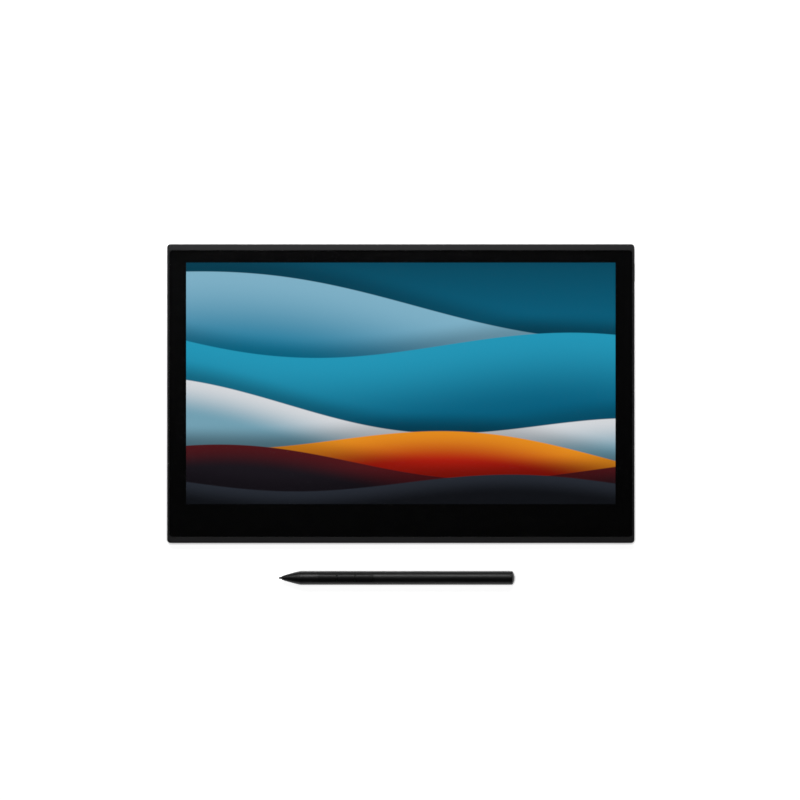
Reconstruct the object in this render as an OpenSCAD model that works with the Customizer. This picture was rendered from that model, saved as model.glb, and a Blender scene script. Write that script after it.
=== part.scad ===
// Pen display: a slim graphics tablet with a built-in screen, and its battery-free pen.
// Sizes are in millimetres. The tablet lies on a desk with its screen up and the pen lies in
// front of it: +X points right, +Y to the far edge of the tablet and +Z up. The origin is the
// middle of the set's footprint on the desk.

/* [Screen and borders] */
// Width of the lit picture
screen_w = 294; // [240:0.5:400]
// Depth of the lit picture
screen_d = 165.4; // [135:0.1:225]
// From the picture to the left or right edge of the body
side_border = 13; // [12.4:0.1:20]
// From the picture to the far edge of the body
top_border = 12.6; // [12.2:0.1:25]
// From the picture to the near edge of the body
bottom_border = 26.6; // [22:0.1:40]

/* [Housing] */
// Clear height between the floor of the rear cover and the display stack
inner_space = 3; // [2.9:0.1:6]
// Thickness of the rear cover's floor
rear_wall_t = 0.9; // [0.7:0.05:1.5]
// Thickness of the rear cover's side walls
side_wall_t = 1.2; // [0.9:0.05:1.6]
// Height from the back face up to the lower edge of the rim
back_rise = 1.2; // [0.6:0.1:2]
// Width of the slope between the rim and the flat back
back_slope_w = 4.5; // [3:0.1:6]
// Corner radius of the body, seen from above
corner_r = 2.2; // [1.8:0.1:6]
// Width of the front frame along the far and near edges
rail_w = 4; // [2.5:0.1:8]
// Width of the front frame along the left and right edges
rim_w = 1.2; // [0.8:0.1:3]
// Thickness of the ledge that carries the glass
ledge_t = 0.8; // [0.6:0.05:1.2]
// Width of the ledge along the far and near edges
ledge_w = 5; // [4.4:0.1:6]
// Width of the ledge along the left and right edges
side_ledge_w = 7.5; // [6:0.1:8]
// Rounding along the upper edge of the frame
frame_edge_r = 1; // [0.3:0.05:1.2]
// Chamfer that marks the parting line between the frame and the cover
seam_chamfer = 0.2; // [0.05:0.05:0.4]
// Thickness of the ribs inside the rear cover
rib_t = 1; // [0.6:0.1:2]
// From the edge of the heat spreader to the ends of the ribs
rib_margin = 5; // [3:0.5:12]
// Number of ribs that run front to back
rib_columns = 6; // [2:1:9]
// Number of ribs that run left to right
rib_rows = 4; // [2:1:6]

/* [Glass] */
// Thickness of the cover glass
glass_t = 0.9; // [0.5:0.05:1.5]
// Gap between the glass and the frame
glass_gap = 0.15; // [0.05:0.05:0.4]
// Corner radius of the glass
glass_corner_r = 2.4; // [1:0.1:5]
// Thickness of the black border mask
mask_t = 0.1; // [0.05:0.01:0.2]
// From the edge of the glass to the edge of the mask
mask_inset = 0.3; // [0.1:0.05:0.6]
// Thickness of the tape between the mask and the ledge
tape_t = 0.2; // [0.1:0.05:0.4]
// From the edges of the ledge to the edges of the tape
tape_inset = 0.5; // [0.2:0.1:1]

/* [Display stack] */
// Thickness of the optical bond under the mask
bond_t = 0.1; // [0.05:0.01:0.25]
// Thickness of the display panel
panel_t = 0.8; // [0.5:0.05:1.5]
// Edge of the panel outside the picture
panel_edge = 2; // [1:0.1:2.8]
// Edge of the panel on the near side, where its drivers sit
driver_edge = 6; // [4:0.1:8]
// Thickness of the digitizer board
digitizer_t = 0.35; // [0.2:0.05:0.8]
// Edge of the digitizer board outside the picture
digitizer_edge = 3; // [1:0.1:3.2]
// Thickness of the shield plate
shield_t = 0.2; // [0.1:0.05:0.5]
// Strip of the digitizer board that the shield plate leaves free for its cable
shield_setback = 7; // [5:0.5:12]
// Thickness of the heat spreader
spreader_t = 0.15; // [0.05:0.05:0.4]
// From the edge of the shield plate to the edge of the heat spreader
spreader_inset = 20; // [5:1:40]
// Thickness of the cushion strips on the ribs
cushion_t = 0.3; // [0.1:0.05:0.6]
// Width of the cushion strips on the ribs
cushion_w = 2; // [1:0.1:4]

/* [Boards and cables] */
// Thickness of the circuit boards
board_t = 0.8; // [0.6:0.1:1]
// Width of the main board
main_board_w = 140; // [120:1:190]
// Depth of the main board
main_board_d = 34; // [30:0.5:38]
// From the front frame to the main board
main_board_gap = 1; // [0.4:0.1:2]
// From the edges of the main board to the middle of its screws
main_screw_inset = 3; // [2.4:0.1:5]
// From the near edge of the main board to its cable connectors
plug_margin = 1.2; // [0.8:0.1:2]
// From the ends of the main board to the connectors there
end_plug_margin = 1; // [0.5:0.1:2]
// From the far edge of the main board to the middle of the connectors at its ends
port_plug_inset = 12; // [10:0.5:16]
// Height of the posts under the main board
main_post_h = 0.5; // [0.3:0.1:0.6]
// From the left end of the main board to the shield can
can_inset = 12; // [7:0.5:20]
// From the far edge of the main board to the shield can
can_margin = 2; // [1:0.1:3]
// Length of the shield can over the processor
can_w = 46; // [40:1:60]
// Depth of the shield can
can_d = 17; // [16:0.5:20]
// Height of the shield can
can_h = 1.05; // [0.95:0.05:1.2]
// Sheet thickness of the shield can
can_t = 0.15; // [0.1:0.05:0.2]
// Side of the processor
chip_w = 13; // [8:0.5:14]
// Height of the chips on the main board
chip_h = 0.7; // [0.4:0.05:0.75]
// Length of the memory chips
memory_l = 10; // [7:0.5:11]
// Width of the memory chips
memory_w = 6.5; // [4:0.5:7]
// Side of the power chips
power_chip_w = 5; // [2:0.5:6]
// Spacing of the power chips
power_chip_pitch = 8; // [6.5:0.5:9]
// Height of the cable connectors
plug_h = 1; // [0.8:0.05:1.1]
// Depth of the cable connectors
plug_d = 4; // [3:0.1:5]
// Thickness of the flex cables
flex_t = 0.15; // [0.08:0.01:0.25]
// Space between neighbouring flex cables at the main board
flex_spacing = 5; // [4:0.5:8]
// Width of each panel flex cable
panel_flex_w = 30; // [15:1:36]
// Width of the digitizer flex cable
digitizer_flex_w = 24; // [10:1:32]
// Width of the flex cables to the port boards
port_flex_w = 6; // [4:0.5:7]
// From the middle of a socket down to the underside of its board
port_drop = 1.2; // [1:0.05:1.25]
// From the inside of the side walls to the port boards
port_wall_gap = 1.3; // [1:0.1:2]
// Width of the port boards
port_board_w = 14; // [12:0.5:16]
// From the near end of a port board to the middle of its socket
port_lead = 10; // [9.4:0.1:11]
// From the middle of a socket to the screws of its board
port_screw_reach = 7.6; // [6.8:0.1:7.8]
// Length of the left port board
left_board_l = 22; // [21:0.5:34]
// Length of the right port board, which also carries the power switch
right_board_l = 38; // [37:0.5:40]

/* [Sockets, power button and light] */
// Outside width of the USB-C sockets
socket_w = 8.94; // [8.9:0.01:9.2]
// Outside height of the USB-C sockets
socket_h = 3.16; // [3.1:0.01:3.3]
// Depth of the USB-C sockets
socket_l = 7.3; // [6.5:0.1:9]
// Thickness of the tongue in the USB-C sockets
tongue_t = 0.7; // [0.6:0.05:0.8]
// Sheet thickness of the USB-C sockets
socket_t = 0.3; // [0.2:0.01:0.35]
// From the far edge of the body to the middle of the sockets
socket_inset = 40.3; // [36.3:0.1:52]
// From the outside of the body to the mouth of the sockets
socket_setback = 0.3; // [0.1:0.05:0.8]
// Thickness of the ledge that is left above the sockets
socket_web = 0.3; // [0.2:0.05:0.4]
// Clearance round the sockets in the housing
socket_gap = 0.12; // [0.05:0.01:0.25]
// Length of the power button
button_l = 12; // [6:0.5:14]
// Height of the power button
button_h = 1.4; // [1:0.1:1.6]
// How far the power button stands out of the side
button_proud = 0.25; // [0.1:0.05:0.5]
// Thickness of the flange that keeps the power button in the housing
button_flange_t = 0.7; // [0.5:0.05:0.9]
// Travel of the power button
button_travel = 0.3; // [0.15:0.05:0.4]
// Clearance round the power button
button_gap = 0.1; // [0.05:0.01:0.2]
// From the middle of the right socket to the middle of the power button
button_pitch = 21; // [19.5:0.5:22]
// From the middle of the right socket to the status light
light_pitch = 10.5; // [9:0.5:11.5]
// Diameter of the status light lens
light_d = 1.2; // [0.8:0.1:1.6]

/* [Feet and screws] */
// Height of the feet under the back face
foot_proud = 0.6; // [0.4:0.05:2]
// Depth of the foot pockets in the rear cover
foot_pocket = 0.35; // [0.2:0.05:0.45]
// Length of a foot
foot_l = 46; // [20:1:70]
// Width of a foot
foot_w = 8; // [5:0.5:10]
// From the side of the body to the middle of a foot
foot_inset_x = 42; // [40:1:60]
// From the far or near edge of the body to the middle of a foot
foot_inset_y = 15; // [14:0.5:20]
// Clearance round a foot in its pocket
foot_gap = 0.1; // [0.05:0.01:0.2]
// Diameter of the housing screws
screw_d = 1.6; // [1.2:0.1:1.8]
// Length of the housing screws under the head
screw_l = 2.8; // [2:0.1:3]
// Head diameter of the housing screws
screw_head_d = 2.8; // [2.4:0.1:2.9]
// Head height of the housing screws
screw_head_h = 0.7; // [0.5:0.05:0.8]
// Depth of the screw heads under the back face
screw_sink = 0.25; // [0.1:0.05:0.4]
// Diameter of the screw bosses
boss_d = 4.2; // [3.9:0.1:4.6]
// Screws along each long edge
screws_per_edge = 4; // [2:1:6]
// From the side of the body to the first screw of a long edge
edge_screw_inset = 30; // [12:1:60]
// From the near end of the port boards to the first screw along each side
side_screw_drop = 14; // [6:0.5:24]
// Spacing of the three screws along each side
side_screw_pitch = 48; // [30:1:54]
// Diameter of the board screws
board_screw_d = 1.4; // [1:0.1:1.6]
// Clearance round the screws
screw_gap = 0.06; // [0.03:0.01:0.1]

/* [Pen] */
// Length of the pen from nib to tail
pen_l = 161.5; // [150:0.5:180]
// Diameter of the pen
pen_d = 9.3; // [9.1:0.1:10.5]
// Gap between the tablet and the pen
pen_gap = 19.35; // [10:0.05:40]
// Distance of the pen's middle from the tablet's middle, to the right
pen_shift = -2.9; // [-20:0.1:20]
// Wall of the barrel
barrel_t = 0.75; // [0.6:0.05:0.8]
// From the nib's point to the full width of the tip cone
cone_l = 14.8; // [14:0.1:17]
// Diameter of the tip cone at its mouth
cone_mouth_d = 2.6; // [2.4:0.1:3.2]
// Bulge of the tip cone against a straight cone
cone_bulge = 0.27; // [0:0.01:0.4]
// Length of the tip cone's spigot inside the barrel
spigot_l = 5; // [4:0.1:6]
// From the mouth of the tip cone to the ferrite core
core_lead = 4.6; // [4.2:0.1:5.5]
// Wall of the ferrite core
core_t = 0.8; // [0.6:0.05:0.85]
// From the front of the ferrite core to the coil
coil_lead = 2.6; // [2:0.1:4]
// Thickness of the coil's winding
coil_t = 0.65; // [0.3:0.05:0.7]
// Length of the nib inside the pressure sensor
nib_grip = 3; // [2:0.1:4]
// Diameter of the nib
nib_d = 1.6; // [1.2:0.05:1.7]
// Diameter of the nib's point
nib_point_d = 1.1; // [0.6:0.05:1.2]
// How far the nib stands out of the cone
nib_out = 2.2; // [1.6:0.05:3]
// Travel of the nib under pressure
nib_travel = 0.5; // [0.2:0.05:0.8]
// Clearance between the nib and its bore, on the radius
nib_gap = 0.08; // [0.04:0.01:0.1]
// From the nib's point to the first side switch
switch_start = 27.2; // [27:0.1:34]
// Length of one side switch
switch_l = 12.4; // [9:0.1:14]
// Width of the side switches
switch_w = 4.4; // [3.6:0.1:4.6]
// Corner radius of the side switches
switch_corner_r = 1; // [0.4:0.1:1.6]
// How far the side switches stand out of the barrel
switch_proud = 0.25; // [0.1:0.05:0.5]
// Travel of the side switches
switch_travel = 0.35; // [0.15:0.05:0.4]
// Clearance round the side switches
switch_gap = 0.2; // [0.1:0.01:0.25]
// From the pen's axis to the top of the side switches' flange
flange_h = 2.35; // [2.2:0.05:2.4]
// Thickness of the side switches' flange
flange_t = 0.5; // [0.4:0.05:0.6]
// Height of the domes under the side switches
dome_h = 0.8; // [0.5:0.05:1]
// Thickness of the pen's circuit board
pen_board_t = 0.8; // [0.6:0.1:1]
// Length of the tail cap outside the barrel
cap_l = 2.7; // [2:0.1:6]
// Height of the dome on the tail cap
cap_dome = 1.4; // [0.5:0.1:1.8]
// Length of the tail cap's plug inside the barrel
plug_l = 8; // [5:0.5:12]
// Clearance of the pieces that slide into the barrel, on the radius
slip_gap = 0.06; // [0.03:0.01:0.1]

/* [Hidden] */
$fn = 48;
// Overlap of joined shapes, and overshoot of a cut past the surface that it opens
eps = 0.01;
over = 1;
// Play between pieces that sit against each other, and room at the end of a bore
play = 0.1;
end_room = 0.2;
// Depth of the board screws' bores in the floor of the rear cover
blind_t = 0.4;
// Least floor of the rear cover under a housing screw's boss
seat_t = 0.6;
// From the power button's flange to the power switch
nose_reach = 1.6;
// From the top of the port board to the middle of the status light
light_rise = 0.35;
// From the middle line of a port board to its screws, towards the side
port_screw_shift = 1.5;
// From the edge of the digitizer board to the flex cables that run along it
flex_inset = 1;

// Body outline and the place of the two halves of the set
body_w = screen_w + 2 * side_border;
body_d = screen_d + top_border + bottom_border;
set_d = body_d + pen_gap + pen_d;
tablet_y = (set_d - body_d) / 2;
pen_y = (pen_d - set_d) / 2;
pen_x = pen_shift - pen_l / 2;

// Heights, from the desk up
z_back = foot_proud;
z_floor = z_back + rear_wall_t;
z_stack = z_floor + inner_space;
z_shield = z_stack + spreader_t;
z_digitizer = z_shield + shield_t;
z_panel = z_digitizer + digitizer_t;
z_bond = z_panel + panel_t;
z_mask = z_bond + bond_t;
z_glass = z_mask + mask_t;
z_front = z_glass + glass_t;
z_ledge = z_mask - tape_t;
z_part = z_ledge - ledge_t;
z_rim = z_back + back_rise;
z_ribs = z_stack - cushion_t;
z_board_bore = z_floor - blind_t;
z_main = z_floor + main_post_h;
z_main_top = z_main + board_t;
z_socket = z_ledge - socket_web - socket_gap - socket_h / 2;
z_port = z_socket - port_drop;
z_port_top = z_port + board_t;
z_button = z_port_top + play;

// Plan sizes of the layers
screen_y = (bottom_border - top_border) / 2;
socket_y = body_d / 2 - socket_inset;
glass_w = body_w - 2 * (rim_w + glass_gap);
glass_d = body_d - 2 * (rail_w + glass_gap);
open_w = body_w - 2 * (rim_w + side_ledge_w);
open_d = body_d - 2 * (rail_w + ledge_w);
panel_w = screen_w + 2 * panel_edge;
panel_d = screen_d + panel_edge + driver_edge;
panel_y = screen_y + (panel_edge - driver_edge) / 2;
panel_near = panel_y - panel_d / 2;
digitizer_w = screen_w + 2 * digitizer_edge;
digitizer_d = screen_d + 2 * digitizer_edge;
digitizer_near = screen_y - digitizer_d / 2;
shield_d = digitizer_d - shield_setback;
shield_y = screen_y + shield_setback / 2;
spreader_w = digitizer_w - 2 * spreader_inset;
spreader_d = shield_d - 2 * spreader_inset;
rib_span_w = spreader_w - 2 * rib_margin;
rib_span_d = spreader_d - 2 * rib_margin;

// Rear cover
wall_in_x = body_w / 2 - side_wall_t;
cover_edge_z = z_rim + rear_wall_t - back_rise * side_wall_t / back_slope_w;

// Boards and cables
main_near = -open_d / 2 + main_board_gap;
main_y = main_near + main_board_d / 2;
plug_y = main_near + plug_margin + plug_d / 2;
plug_entry_z = z_main_top + plug_h / 2;
panel_flex_x = (panel_flex_w + digitizer_flex_w) / 2 + flex_spacing;
port_plug_y = main_near + main_board_d - port_plug_inset;
port_plug_x = main_board_w / 2 - end_plug_margin - plug_d / 2;
main_post_x = main_board_w / 2 - main_screw_inset;
main_post_y = main_board_d / 2 - main_screw_inset;
can_x = -main_board_w / 2 + can_inset + can_w / 2;
can_y = main_near + main_board_d - can_margin - can_d / 2;
port_near = socket_y - port_lead;
port_x = wall_in_x - port_wall_gap - port_board_w / 2;
port_post_x = port_x + port_screw_shift;
flex_x = digitizer_w / 2 - flex_inset - port_flex_w / 2;
board_post_d = board_screw_d + 1.8;
board_head_d = board_screw_d + 1;
board_head_h = 0.4;
button_y = socket_y + button_pitch;
light_y = socket_y + light_pitch;
light_z = z_port_top + light_rise;
button_flange_x = wall_in_x - button_gap;
power_switch_size = [3, 6, 0.85];
power_switch_x = button_flange_x - nose_reach - power_switch_size[0];

// Fasteners
boss_x = open_w / 2 + boss_d / 2;
boss_y = open_d / 2 + boss_d / 2;
z_head = z_back + screw_sink;
z_seat = z_head + screw_head_h;
z_boss = max(z_seat + seat_t, z_floor + blind_t);
edge_screw_x = body_w / 2 - edge_screw_inset;
edge_screw_pitch = 2 * edge_screw_x / (screws_per_edge - 1);
side_screw_y = port_near - side_screw_drop;
screw_spots = concat(
    [for (i = [0:screws_per_edge - 1], s = [-1, 1])
        [-edge_screw_x + i * edge_screw_pitch, s * boss_y]],
    [for (i = [0:2], s = [-1, 1])
        [s * boss_x, side_screw_y - i * side_screw_pitch]]
);
main_screw_spots = [for (sx = [-1, 1], sy = [-1, 1]) [sx * main_post_x, main_y + sy * main_post_y]];
port_screw_spots = [for (sx = [-1, 1], sy = [-1, 1])
    [sx * port_post_x, socket_y + sy * port_screw_reach]];

// Pen, along its own axis from the nib's point
pen_r = pen_d / 2;
bore_r = pen_r - barrel_t;
slip_r = bore_r - slip_gap;
mouth_r = cone_mouth_d / 2;
core_start = nib_out + core_lead;
core_r = nib_d / 2 + core_t;
coil_r = core_r + coil_t;
coil_start = core_start + coil_lead;
spigot_end = cone_l + spigot_l;
core_end = spigot_end + 0.4;
sensor_start = core_end + play;
sensor_end = switch_start - 0.6;
nib_end = sensor_start + nib_grip;
switch_pitch = switch_l + switch_gap;
switch_span = 3 * switch_l + 2 * switch_gap;
dome_top = flange_h - flange_t - switch_travel - 0.08;
pen_board_top = dome_top - dome_h;
pen_board_w = 2 * (slip_r - 0.35);
chassis_start = sensor_end + 0.4;
cap_start = pen_l - cap_l;
magazine_end = cap_start - plug_l;
spare_l = nib_end;
magazine_floor = 0.8;
magazine_start = magazine_end - spare_l - magazine_floor - end_room;
chassis_end = magazine_start - 3;

// Shared shapes

module rounded_rect(w, d, r) {
    square([w - 2 * r, d], center = true);
    square([w, d - 2 * r], center = true);
    for (sx = [-1, 1], sy = [-1, 1])
        translate([sx * (w / 2 - r), sy * (d / 2 - r)]) circle(r);
}

module stadium(l, w) {
    square([l - w, w], center = true);
    for (s = [-1, 1])
        translate([s * (l - w) / 2, 0]) circle(w / 2);
}

// Flat layer with square corners between two heights
module layer(w, d, y, z0, z1) {
    translate([-w / 2, y - d / 2, z0]) cube([w, d, z1 - z0]);
}

// Upright posts at the four corners of an outline, to be wrapped by a hull
module corner_posts(w, d, r, z0, z1) {
    for (sx = [-1, 1], sy = [-1, 1])
        translate([sx * (w / 2 - r), sy * (d / 2 - r), z0]) cylinder(r = r, h = z1 - z0);
}

// Slab with rounded corners, a rounded upper edge and a chamfered lower edge
module soft_slab(w, d, r, z0, z1, round_r, chamfer) {
    hull() {
        for (a = [0:15:90])
            let (inset = round_r * (1 - cos(a)), drop = round_r * (1 - sin(a)))
                corner_posts(w - 2 * inset, d - 2 * inset, r - inset, z0 + chamfer, z1 - drop);
        corner_posts(w - 2 * chamfer, d - 2 * chamfer, r - chamfer, z0, z1 - round_r);
    }
}

// Tray form: upright rim above a slope that leads to a smaller flat bottom
module tray_form(w, d, r, slope, z_low, z_edge, z_top) {
    hull() {
        corner_posts(w, d, r, z_edge, z_top);
        corner_posts(w - 2 * slope, d - 2 * slope, r, z_low, z_top);
    }
}

// Extrudes a profile of Y and Z along X, or of X and Z along Y
module along_x(l) {
    rotate([90, 0, 90]) linear_extrude(l, center = true) children();
}

module along_y(l) {
    rotate([90, 0, 0]) linear_extrude(l, center = true) children();
}

// Outline of a thin ribbon that follows a line of points
function unit(v) = v / norm(v);
function turned(v) = [-v[1], v[0]];
function step_normal(p, i) = turned(unit(p[i + 1] - p[i]));
function ribbon_offset(p, i) =
    i == 0 ? step_normal(p, 0) :
    i == len(p) - 1 ? step_normal(p, i - 1) :
    let (m = unit(step_normal(p, i - 1) + step_normal(p, i))) m / (m * step_normal(p, i));
function ribbon(p, t) = concat(
    [for (i = [0:len(p) - 1]) p[i] + t / 2 * ribbon_offset(p, i)],
    [for (i = [len(p) - 1:-1:0]) p[i] - t / 2 * ribbon_offset(p, i)]
);
// Soft step from one height to another, for a cable that changes level
function soft_step(a, b) = [
    for (i = [0:8])
        let (t = i / 8, rise = t * t * (3 - 2 * t))
            [a[0] + (b[0] - a[0]) * t, a[1] + (b[1] - a[1]) * rise]
];

module on_both_sides() {
    children();
    mirror([1, 0, 0]) children();
}

module place_tablet() {
    translate([0, tablet_y, 0]) children();
}

// Pen frame: its Z runs along the pen from the nib's point and its X points up
module place_pen() {
    translate([pen_x, pen_y, pen_r]) rotate(180, [1, 0, 1]) children();
}

// Openings that the rear cover and the front frame share

module socket_cut() {
    on_both_sides()
        translate([body_w / 2 - socket_l - socket_setback - socket_gap, socket_y, z_socket])
            rotate([90, 0, 90])
                linear_extrude(socket_l + socket_setback + socket_gap + over)
                    stadium(socket_w + 2 * socket_gap, socket_h + 2 * socket_gap);
}

module screw_bores(spots, d, z0, z1) {
    for (p = spots)
        translate([p[0], p[1], z0]) cylinder(d = d, h = z1 - z0);
}

// Tablet housing

module foot_outlines(grow) {
    for (sx = [-1, 1], sy = [-1, 1])
        translate([sx * (body_w / 2 - foot_inset_x), sy * (body_d / 2 - foot_inset_y)])
            stadium(foot_l + 2 * grow, foot_w + 2 * grow);
}

module cover_ribs() {
    for (i = [0:rib_columns - 1])
        translate([-rib_span_w / 2 + i * rib_span_w / (rib_columns - 1) - rib_t / 2,
            shield_y - rib_span_d / 2, z_floor - eps])
            cube([rib_t, rib_span_d, z_ribs - z_floor + eps]);
    for (i = [0:rib_rows - 1])
        translate([-rib_span_w / 2 - rib_t / 2,
            shield_y - rib_span_d / 2 + i * (rib_span_d - rib_t) / (rib_rows - 1), z_floor - eps])
            cube([rib_span_w + rib_t, rib_t, z_ribs - z_floor + eps]);
}

module rear_cover() {
    color("#2b2c2e") place_tablet() difference() {
        union() {
            difference() {
                tray_form(body_w, body_d, corner_r, back_slope_w, z_back, z_rim, z_part);
                tray_form(body_w - 2 * side_wall_t, body_d - 2 * side_wall_t,
                    max(corner_r - side_wall_t, 0.4), back_slope_w - side_wall_t,
                    z_floor, cover_edge_z, z_part + over);
            }
            cover_ribs();
            screw_bores(screw_spots, boss_d, z_floor - eps, z_boss);
            screw_bores(main_screw_spots, board_post_d, z_floor - eps, z_main);
            screw_bores(port_screw_spots, board_post_d, z_floor - eps, z_port);
        }
        screw_bores(screw_spots, screw_d + 2 * screw_gap, z_back - over, z_boss + over);
        screw_bores(screw_spots, screw_head_d + 2 * screw_gap, z_back - over, z_seat);
        screw_bores(main_screw_spots, board_screw_d + 2 * screw_gap, z_board_bore, z_main + over);
        screw_bores(port_screw_spots, board_screw_d + 2 * screw_gap, z_board_bore, z_port + over);
        translate([0, 0, z_back - over]) linear_extrude(over + foot_pocket) foot_outlines(foot_gap);
        socket_cut();
        translate([wall_in_x - over, button_y, z_button]) rotate([90, 0, 90])
            linear_extrude(side_wall_t + 2 * over)
                stadium(button_l + 2 * button_gap, button_h + 2 * button_gap);
        translate([wall_in_x - over, light_y, light_z]) rotate([0, 90, 0])
            cylinder(d = light_d + 2 * screw_gap, h = side_wall_t + 2 * over);
    }
}

module front_frame() {
    color("#3a3a3c") place_tablet() difference() {
        union() {
            difference() {
                soft_slab(body_w, body_d, corner_r, z_part, z_front, frame_edge_r, seam_chamfer);
                translate([0, 0, z_ledge]) linear_extrude(z_front - z_ledge + over)
                    inset_glass(-glass_gap);
                layer(open_w, open_d, 0, z_part - over, z_front + over);
            }
            screw_bores(screw_spots, boss_d, z_boss, z_part + eps);
        }
        screw_bores(screw_spots, screw_d + 2 * screw_gap, z_boss - over, z_seat + screw_l + end_room);
        socket_cut();
    }
}

// Outline of the glass, drawn in from its edge
module inset_glass(inset) {
    rounded_rect(glass_w - 2 * inset, glass_d - 2 * inset, glass_corner_r - inset);
}

module cover_glass() {
    color("#10151a", 0.5) place_tablet() translate([0, 0, z_glass])
        linear_extrude(glass_t) inset_glass(0);
}

module border_mask() {
    color("#08090a") place_tablet() difference() {
        translate([0, 0, z_mask]) linear_extrude(mask_t) inset_glass(mask_inset);
        layer(screen_w, screen_d, screen_y, z_mask - over, z_glass + over);
    }
}

module glass_tape() {
    color("#1c1c1c") place_tablet() difference() {
        translate([0, 0, z_ledge]) linear_extrude(tape_t) inset_glass(tape_inset);
        layer(open_w + 2 * tape_inset, open_d + 2 * tape_inset, 0, z_ledge - over, z_mask + over);
    }
}

// Display stack, from the glass down

module optical_bond() {
    color("#cfe0ea", 0.4) place_tablet() union() {
        layer(panel_w, screen_d + 2 * panel_edge, screen_y, z_bond, z_mask);
        layer(screen_w, screen_d, screen_y, z_mask - eps, z_glass);
    }
}

module display_panel() {
    color("#14506a") place_tablet() layer(panel_w, panel_d, panel_y, z_panel, z_bond);
}

module digitizer_board() {
    color("#1f6b3a") place_tablet() layer(digitizer_w, digitizer_d, screen_y, z_digitizer, z_panel);
}

module shield_plate() {
    color("#9aa0a4") place_tablet() layer(digitizer_w, shield_d, shield_y, z_shield, z_digitizer);
}

module heat_spreader() {
    color("#3c3f42") place_tablet() layer(spreader_w, spreader_d, shield_y, z_stack, z_shield);
}

module cushion_strips() {
    color("#55585c") place_tablet()
        for (i = [0:rib_rows - 1])
            layer(rib_span_w - 6, cushion_w,
                shield_y - rib_span_d / 2 + rib_t / 2 + i * (rib_span_d - rib_t) / (rib_rows - 1),
                z_ribs, z_stack);
}

// Flex cables

module panel_flexes() {
    start_z = z_panel - flex_t / 2;
    path = concat(
        [[panel_near + driver_edge - digitizer_edge - 0.4, start_z]],
        soft_step([panel_near - 0.4, start_z], [plug_y + plug_d / 2 + 0.8, plug_entry_z]),
        [[plug_y + 0.2, plug_entry_z]]
    );
    color("#b5782c") place_tablet() on_both_sides()
        translate([panel_flex_x, 0, 0]) along_x(panel_flex_w) polygon(ribbon(path, flex_t));
}

module digitizer_flex() {
    start_z = z_digitizer - flex_t / 2;
    path = concat(
        [[digitizer_near + shield_setback - 1, start_z]],
        soft_step([digitizer_near - 0.6, start_z], [plug_y + plug_d / 2 + 0.8, plug_entry_z]),
        [[plug_y + 0.2, plug_entry_z]]
    );
    color("#c08a3a") place_tablet() along_x(digitizer_flex_w) polygon(ribbon(path, flex_t));
}

module port_flex() {
    floor_z = z_floor + flex_t / 2;
    port_entry_z = z_port - plug_h / 2;
    side_run = concat(
        [[port_near + plug_d / 2 - 0.2, port_entry_z]],
        soft_step([port_near - 0.6, port_entry_z], [port_near - 7, floor_z]),
        [[port_plug_y - port_flex_w / 2, floor_z]]
    );
    cross_run = concat(
        [[flex_x + port_flex_w / 2, floor_z]],
        soft_step([main_board_w / 2 + 7, floor_z], [main_board_w / 2 + 0.6, plug_entry_z]),
        [[port_plug_x + 0.2, plug_entry_z]]
    );
    translate([flex_x, 0, 0]) along_x(port_flex_w) polygon(ribbon(side_run, flex_t));
    translate([0, port_plug_y, 0]) along_y(port_flex_w) polygon(ribbon(cross_run, flex_t));
}

module left_port_flex() {
    color("#b5782c") place_tablet() mirror([1, 0, 0]) port_flex();
}

module right_port_flex() {
    color("#b5782c") place_tablet() port_flex();
}

// Boards

module board_bores(spots, z) {
    screw_bores(spots, board_screw_d + 2 * screw_gap, z - over, z + board_t + over);
}

module main_board() {
    color("#1d5c38") place_tablet() difference() {
        layer(main_board_w, main_board_d, main_y, z_main, z_main_top);
        board_bores(main_screw_spots, z_main);
    }
}

// Processor and memory under the can, power parts to the right of it
module main_chips() {
    power_chip_x = can_x + can_w / 2 + 5;
    color("#17181a") place_tablet() translate([0, 0, z_main_top]) {
        translate([can_x - can_w / 5 - chip_w / 2, can_y - chip_w / 2, 0])
            cube([chip_w, chip_w, chip_h]);
        for (s = [-1, 1])
            translate([can_x + can_w / 5 - memory_l / 2, can_y + s * can_d / 4 - memory_w / 2, 0])
                cube([memory_l, memory_w, chip_h]);
        for (i = [0:3])
            translate([power_chip_x + i * power_chip_pitch, can_y - power_chip_w / 2, 0])
                cube([power_chip_w, power_chip_w, chip_h]);
    }
}

module shield_can() {
    color("#a9aeb2") place_tablet() translate([can_x, can_y, z_main_top]) difference() {
        translate([-can_w / 2, -can_d / 2, 0]) cube([can_w, can_d, can_h]);
        translate([-can_w / 2 + can_t, -can_d / 2 + can_t, -over])
            cube([can_w - 2 * can_t, can_d - 2 * can_t, can_h - can_t + over]);
    }
}

// One connector with a slot for a cable that comes from the +Y side
module connector(w, flex_w) {
    slot_w = flex_w + 0.4;
    slot_h = flex_t + 0.1;
    difference() {
        translate([-w / 2, -plug_d / 2, 0]) cube([w, plug_d, plug_h]);
        translate([-slot_w / 2, 0, (plug_h - slot_h) / 2]) cube([slot_w, plug_d, slot_h]);
    }
}

module cable_connectors() {
    color("#d8d4c6") place_tablet() {
        translate([0, plug_y, z_main_top]) connector(digitizer_flex_w + 3, digitizer_flex_w);
        on_both_sides() {
            translate([panel_flex_x, plug_y, z_main_top]) connector(panel_flex_w + 3, panel_flex_w);
            translate([port_plug_x, port_plug_y, z_main_top]) rotate(-90)
                connector(port_flex_w + 2, port_flex_w);
            translate([flex_x, port_near + plug_d / 2, z_port]) rotate([0, 180, 180])
                connector(port_flex_w + 2, port_flex_w);
        }
    }
}

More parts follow.
